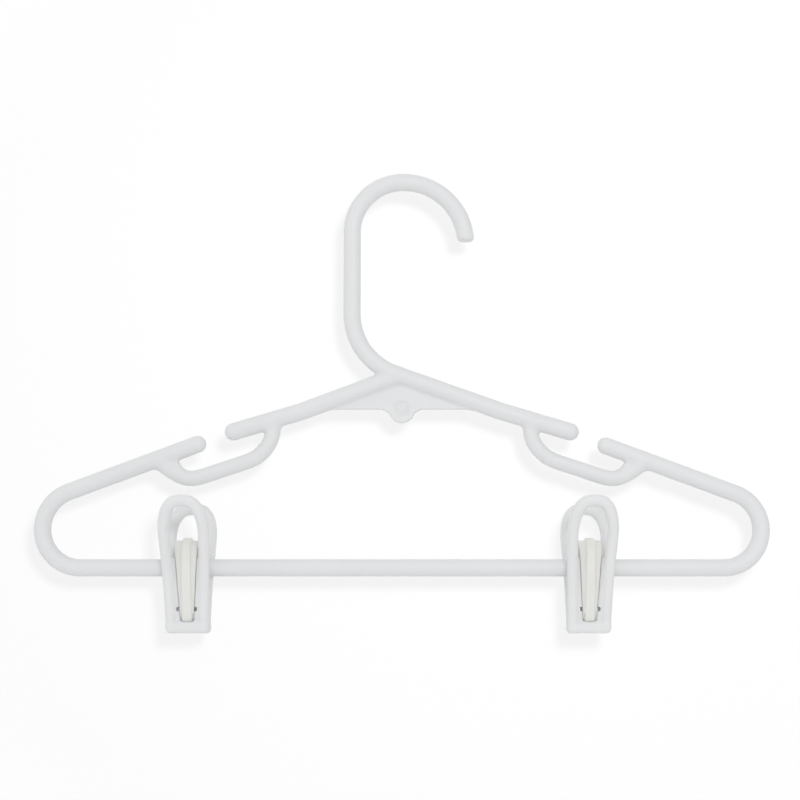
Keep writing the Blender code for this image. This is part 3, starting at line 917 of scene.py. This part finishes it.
def place_frame(mat):
    """Frame moulding and the gate marks on both faces of its web."""
    moulding = build_frame()
    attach(moulding, "frame")
    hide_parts("hanger_frame")
    finish_piece(moulding, mat)
    for name, facing in (("gate_mark_front", -1.0), ("gate_mark_back", 1.0)):
        mark = gate_mark(name, facing)
        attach(mark, "frame")
        finish_piece(mark, mat)


def clip_place(side, axis):
    """A clip's place on the bar: swung about the bar, its top leaning a little along it."""
    lean = Matrix.Identity(4)
    lean[0][2] = CLIP_LEAN[side]
    return Matrix.Translation(axis) @ lean @ Matrix.Rotation(-CLIP_SWING, 4, "X")


def widen(mesh, side):
    """Spreads one side of a finger loop, more towards its crown."""
    co = np.empty(len(mesh.vertices) * 3, np.float32)
    mesh.vertices.foreach_get("co", co)
    co = co.reshape(-1, 3)
    reach = np.maximum(side * co[:, 0], 0.0)
    co[:, 0] += side * LOOP_SPREAD * reach * np.clip(co[:, 2] / LOOP_SPREAD_Z, 0.0, 1.0)
    mesh.vertices.foreach_set("co", co.ravel())


def place_jaws(mat):
    """Four copies of one jaw: front and rear, on both clips."""
    master = build_jaw()
    for side, axis in CLIP_AXES.items():
        for end, turn in (("front", 0.0), ("rear", math.pi)):
            name = f"{side}_{end}_jaw_moulding"
            mesh = master.data.copy()
            if end == "rear":
                widen(mesh, 1.0 if side == "left" else -1.0)
            mesh.transform(clip_place(side, axis) @ Matrix.Rotation(turn, 4, "Z"))
            obj = new_object(name, mesh)
            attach(obj, f"{side}_{end}_jaw")
            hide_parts(f"{side}_clip_{end}_jaw")
            finish_piece(obj, mat)
    bpy.data.objects.remove(master)


def place_springs(mat):
    """Both springs, in halves: each half runs from the middle of its bend down one leg."""
    for side, axis in CLIP_AXES.items():
        for end, facing in (("front", 1.0), ("rear", -1.0)):
            half = spring_half(f"{side}_spring_{end}_leg", facing, clip_place(side, axis))
            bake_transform(half)
            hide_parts(f"{side}_clip_spring")
            finish_piece(half, mat)


# ---------------------------------------------------------------- stage

def aim(obj, way):
    """Points a camera or lamp along a direction."""
    obj.rotation_mode = "QUATERNION"
    obj.rotation_quaternion = way.to_track_quat("-Z", "Y")


def camera():
    """Camera a little below the hanger's middle, looking up at it."""
    data = bpy.data.cameras.new("camera")
    data.sensor_width = SENSOR_WIDTH
    data.lens = SENSOR_WIDTH * CAMERA_FOCAL
    data.clip_start, data.clip_end = CAMERA_CLIP
    obj = new_object("camera", data)
    look = Vector((0.0, math.cos(CAMERA_PITCH), math.sin(CAMERA_PITCH)))
    obj.location = Vector(CAMERA_TARGET) - look * CAMERA_DISTANCE
    aim(obj, look)
    bpy.context.scene.camera = obj


def area_light(name, place, size, power):
    """Round lamp that points at the hanger's middle."""
    data = bpy.data.lights.new(name, "AREA")
    data.shape = "DISK"
    data.size = size
    data.energy = power
    obj = new_object(name, data)
    obj.location = place
    aim(obj, Vector(LIGHT_TARGET) - Vector(place))
    obj.visible_camera = False
    return obj


def world():
    """Even soft light with a slow gradient, and a white patch behind the object."""
    made = bpy.data.worlds.new("world")
    bpy.context.scene.world = made
    made.use_nodes = True
    tree = made.node_tree
    background = tree.nodes["Background"]
    coords = node(tree, "ShaderNodeTexCoord").outputs["Generated"]
    lean = node(tree, "ShaderNodeVectorMath", operation="DOT_PRODUCT")
    tree.links.new(coords, lean.inputs[0])
    lean.inputs[1].default_value = WORLD_LEAN
    level = node(tree, "ShaderNodeMath", operation="ADD")
    tree.links.new(lean.outputs["Value"], level.inputs[0])
    level.inputs[1].default_value = WORLD_LEVEL
    split = node(tree, "ShaderNodeSeparateXYZ")
    tree.links.new(coords, split.inputs["Vector"])
    patch = map_range(tree, split.outputs["Y"], *WORLD_PATCH, 0.0, 1.0)
    mix = node(tree, "ShaderNodeMix")
    tree.links.new(patch, mix.inputs[0])
    tree.links.new(level.outputs["Value"], mix.inputs[2])
    mix.inputs[3].default_value = WORLD_BACK
    tree.links.new(mix.outputs[0], background.inputs["Strength"])
    background.inputs["Color"].default_value = (1.0, 1.0, 1.0, 1.0)


def shadow_sheet():
    """Almost clear sheet close behind the hanger that takes a faint shadow; it fades out at its rim.

    Its tint takes away as much light as its own lamp adds, so only the shadow shows."""
    bm = bmesh.new()
    bmesh.ops.create_grid(bm, x_segments=2, y_segments=2, size=SHEET_HALF)
    bmesh.ops.rotate(bm, verts=bm.verts, matrix=Matrix.Rotation(math.radians(90.0), 3, "X"))
    bmesh.ops.translate(bm, verts=bm.verts, vec=SHEET_PLACE)
    obj = new_object("shadow_sheet", finished_mesh(bm, "shadow_sheet"))
    mat = bpy.data.materials.new("clear_sheet")
    mat.use_nodes = True
    tree = mat.node_tree
    link = tree.links.new
    tree.nodes.remove(tree.nodes["Principled BSDF"])
    white = node(tree, "ShaderNodeBsdfDiffuse", Color=SHEET_WHITE)
    clear = node(tree, "ShaderNodeBsdfTransparent")
    mix = node(tree, "ShaderNodeMixShader")
    shift = node(tree, "ShaderNodeMapping", Location=[-c for c in SHEET_PLACE])
    link(node(tree, "ShaderNodeTexCoord").outputs["Object"], shift.inputs["Vector"])
    away = node(tree, "ShaderNodeVectorMath", operation="LENGTH")
    link(shift.outputs["Vector"], away.inputs[0])
    for start, end, socket in ((SHEET_OPACITY, 0.0, mix.inputs[0]),
                               (SHEET_TINT, 1.0, clear.inputs["Color"])):
        link(map_range(tree, away.outputs["Value"], *SHEET_RADIUS, start, end), socket)
    link(clear.outputs[0], mix.inputs[1])
    link(white.outputs[0], mix.inputs[2])
    link(mix.outputs[0], tree.nodes["Material Output"].inputs["Surface"])
    obj.data.materials.append(mat)
    return obj


def light_only(lamp, obj):
    """Restricts a lamp to one object; other objects still cast its shadow there."""
    group = bpy.data.collections.new(lamp.name + "_lit")
    group.objects.link(obj)
    lamp.light_linking.receiver_collection = group


def floor():
    """Plain pale floor disc, well below the hanger."""
    bm = bmesh.new()
    bmesh.ops.create_circle(bm, cap_ends=True, segments=FLOOR_SIDES, radius=FLOOR_RADIUS)
    bmesh.ops.translate(bm, verts=bm.verts, vec=(0.0, 0.0, FLOOR_Z))
    obj = new_object("floor", finished_mesh(bm, "floor"))
    mat = bpy.data.materials.new("floor_white")
    mat.use_nodes = True
    tree = mat.node_tree
    shader = tree.nodes["Principled BSDF"]
    scale, detail = FLOOR_GRAIN
    grain = node(tree, "ShaderNodeTexNoise", Scale=scale, Detail=detail)
    tree.links.new(node(tree, "ShaderNodeTexCoord").outputs["Object"], grain.inputs["Vector"])
    tone = colour_ramp(tree, grain.outputs["Fac"], FLOOR_TONES)
    tree.links.new(tone, shader.inputs["Base Color"])
    shader.inputs["Roughness"].default_value = FLOOR_ROUGHNESS
    obj.data.materials.append(mat)


def main():
    place_frame(moulded("white_polypropylene"))
    place_jaws(moulded("white_jaw_polypropylene"))
    place_springs(moulded("cream_acetal"))
    world()
    area_light("key", KEY_PLACE, KEY_SIZE, KEY_POWER)
    sheet = shadow_sheet()
    light_only(area_light("sheet_light", SHEET_LIGHT, SHEET_LIGHT_SIZE, SHEET_POWER), sheet)
    floor()
    camera()
    bpy.context.scene.view_settings.view_transform = "Standard"


main()
